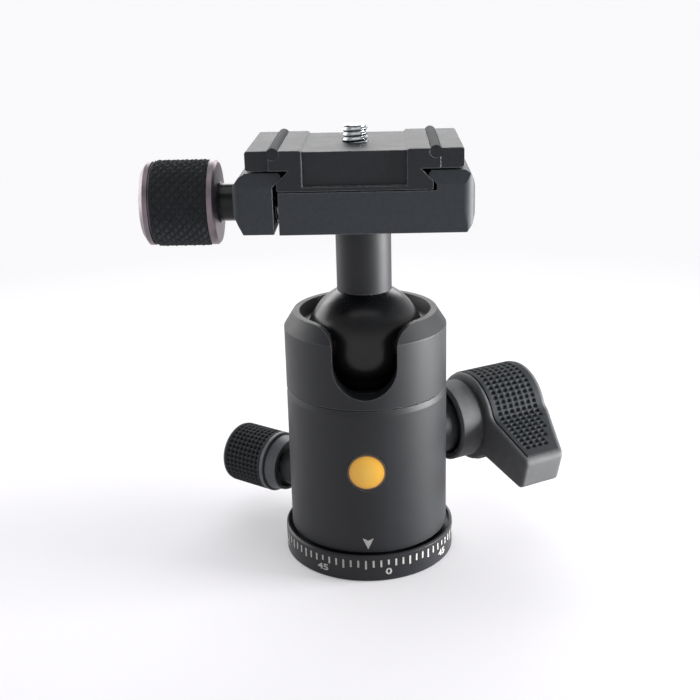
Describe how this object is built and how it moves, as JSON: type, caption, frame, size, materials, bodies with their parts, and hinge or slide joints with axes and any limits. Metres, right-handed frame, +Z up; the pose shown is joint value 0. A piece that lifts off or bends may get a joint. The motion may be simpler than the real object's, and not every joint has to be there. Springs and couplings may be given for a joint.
{
  "type": "tripod ball head",
  "caption": "Compact ball head: panning base with a degree ring, drop-notch ball socket, main and pan locks, and a dovetail clamp with its quick-release plate.",
  "frame": {"origin": "centre of the tripod socket in the base's underside, on the ground plane", "axes": "+Z up along the neck at rest, the drop notch and index arrow face -Y, the clamp knob points along -X"},
  "size_m": [0.1104, 0.0609, 0.1182],
  "materials": {
    "body_black": "satin powder coat",
    "ring_black": "satin anodised",
    "plate_black": "fine matt anodised",
    "ball_black": "satin hard anodised",
    "lever_grey": "fine textured paint",
    "knob_bronze": "bronze-grey anodised",
    "print_white": "printed",
    "badge_orange": "gloss doming resin",
    "soft_black": "moulded",
    "zinc": "zinc plated",
    "steel": "turned",
    "black_steel": "black oxide",
    "brass": "turned",
    "nylon": "machined",
    "black_plastic": "moulded",
    "die_cast": "machined"
  },
  "bodies": {
    "base": {"pan_base": "ring_black", "scale_ring": "ring_black", "scale_marks": "print_white", "tripod_bushing": "steel", "thrust_washer": "black_plastic", "pan_bolt_washer": "nylon"},
    "housing": {"lower_housing": "body_black", "upper_housing": "body_black", "badge": "badge_orange", "index_mark": "print_white", "upper_seat_ring": "brass", "lock_bushing": "brass", "pan_lock_bushing": "brass", "pan_bolt": "steel"},
    "wedge": {"wedge_block": "steel"},
    "seat": {"seat_cup": "nylon", "lock_piston": "die_cast"},
    "lock_knob": {"lock_screw": "steel", "lock_hub": "lever_grey", "lock_lever": "lever_grey", "lock_grip": "soft_black", "lever_screw": "steel", "lever_cap": "black_plastic"},
    "brake": {"brake_shoe": "nylon"},
    "pan_knob": {"pan_lock_screw": "steel", "pan_knob_core": "lever_grey", "pan_knob_sleeve": "soft_black"},
    "ball": {"ball": "ball_black"},
    "neck": {"neck": "body_black"},
    "clamp": {"clamp_base": "plate_black", "clamp_bolt": "black_steel", "guide_pins": "steel", "jaw_springs": "steel"},
    "jaw": {"movable_jaw": "plate_black", "jaw_washer": "steel"},
    "clamp_knob": {"clamp_screw": "black_steel", "clamp_knob_core": "knob_bronze", "clamp_knob_sleeve": "soft_black", "clamp_knob_cap": "knob_bronze"},
    "plate": {"release_plate": "plate_black", "left_cord": "soft_black", "right_cord": "soft_black", "screw_clip": "steel"},
    "camera_screw": {"camera_screw": "zinc"}
  },
  "joints": [
    {"name": "pan", "type": "hinge", "parent": "base", "child": "housing", "pos_m": [0, 0, 0], "axis": [0, 0, 1], "continuous": true},
    {"name": "wedge_slide", "type": "slide", "parent": "housing", "child": "wedge", "axis": [0.866, 0.5, 0], "range_m": [0, 0.00069444]},
    {"name": "seat_drop", "type": "slide", "parent": "housing", "child": "seat", "axis": [0, 0, -1], "range_m": [0, 0.00020833]},
    {"name": "lock_turn", "type": "hinge", "parent": "wedge", "child": "lock_knob", "pos_m": [0, 0, 0.0313], "axis": [0.866, 0.5, 0], "range_deg": [0, 200]},
    {"name": "brake_slide", "type": "slide", "parent": "housing", "child": "brake", "axis": [-0.829, 0.5592, 0], "range_m": [0, 0.001]},
    {"name": "pan_lock_turn", "type": "hinge", "parent": "brake", "child": "pan_knob", "pos_m": [0, 0, 0.0168], "axis": [-0.829, 0.5592, 0], "range_deg": [0, 360]},
    {"name": "ball_lean", "type": "hinge", "parent": "housing", "child": "ball", "pos_m": [0, 0, 0.0608], "axis": [0, 1, 0], "range_deg": [-30, 30]},
    {"name": "ball_tilt", "type": "hinge", "parent": "ball", "child": "neck", "pos_m": [0, 0, 0.0608], "axis": [1, 0, 0], "range_deg": [-27, 90]},
    {"name": "head_swivel", "type": "hinge", "parent": "neck", "child": "clamp", "pos_m": [0, 0, 0.0608], "axis": [0, 0, 1], "continuous": true},
    {"name": "jaw_slide", "type": "slide", "parent": "clamp", "child": "jaw", "axis": [-1, 0, 0], "range_m": [0, 0.003]},
    {"name": "clamp_knob_turn", "type": "hinge", "parent": "jaw", "child": "clamp_knob", "pos_m": [-0.0316, 0, 0.0989], "axis": [-1, 0, 0], "range_deg": [0, 1080]},
    {"name": "plate_slide", "type": "slide", "parent": "clamp", "child": "plate", "axis": [0, 1, 0], "range_m": [-0.036, 0.036]},
    {"name": "camera_screw_turn", "type": "hinge", "parent": "plate", "child": "camera_screw", "pos_m": [-0.0015, 0, 0.108], "axis": [0, 0, 1], "continuous": true}
  ],
  "couplings": [
    {"joint": "lock_turn", "follows": "wedge_slide", "rad_per_m": 5026.5},
    {"joint": "seat_drop", "follows": "wedge_slide", "ratio": 0.3},
    {"joint": "pan_lock_turn", "follows": "brake_slide", "rad_per_m": 6283.2},
    {"joint": "clamp_knob_turn", "follows": "jaw_slide", "rad_per_m": 6283.2}
  ]
}
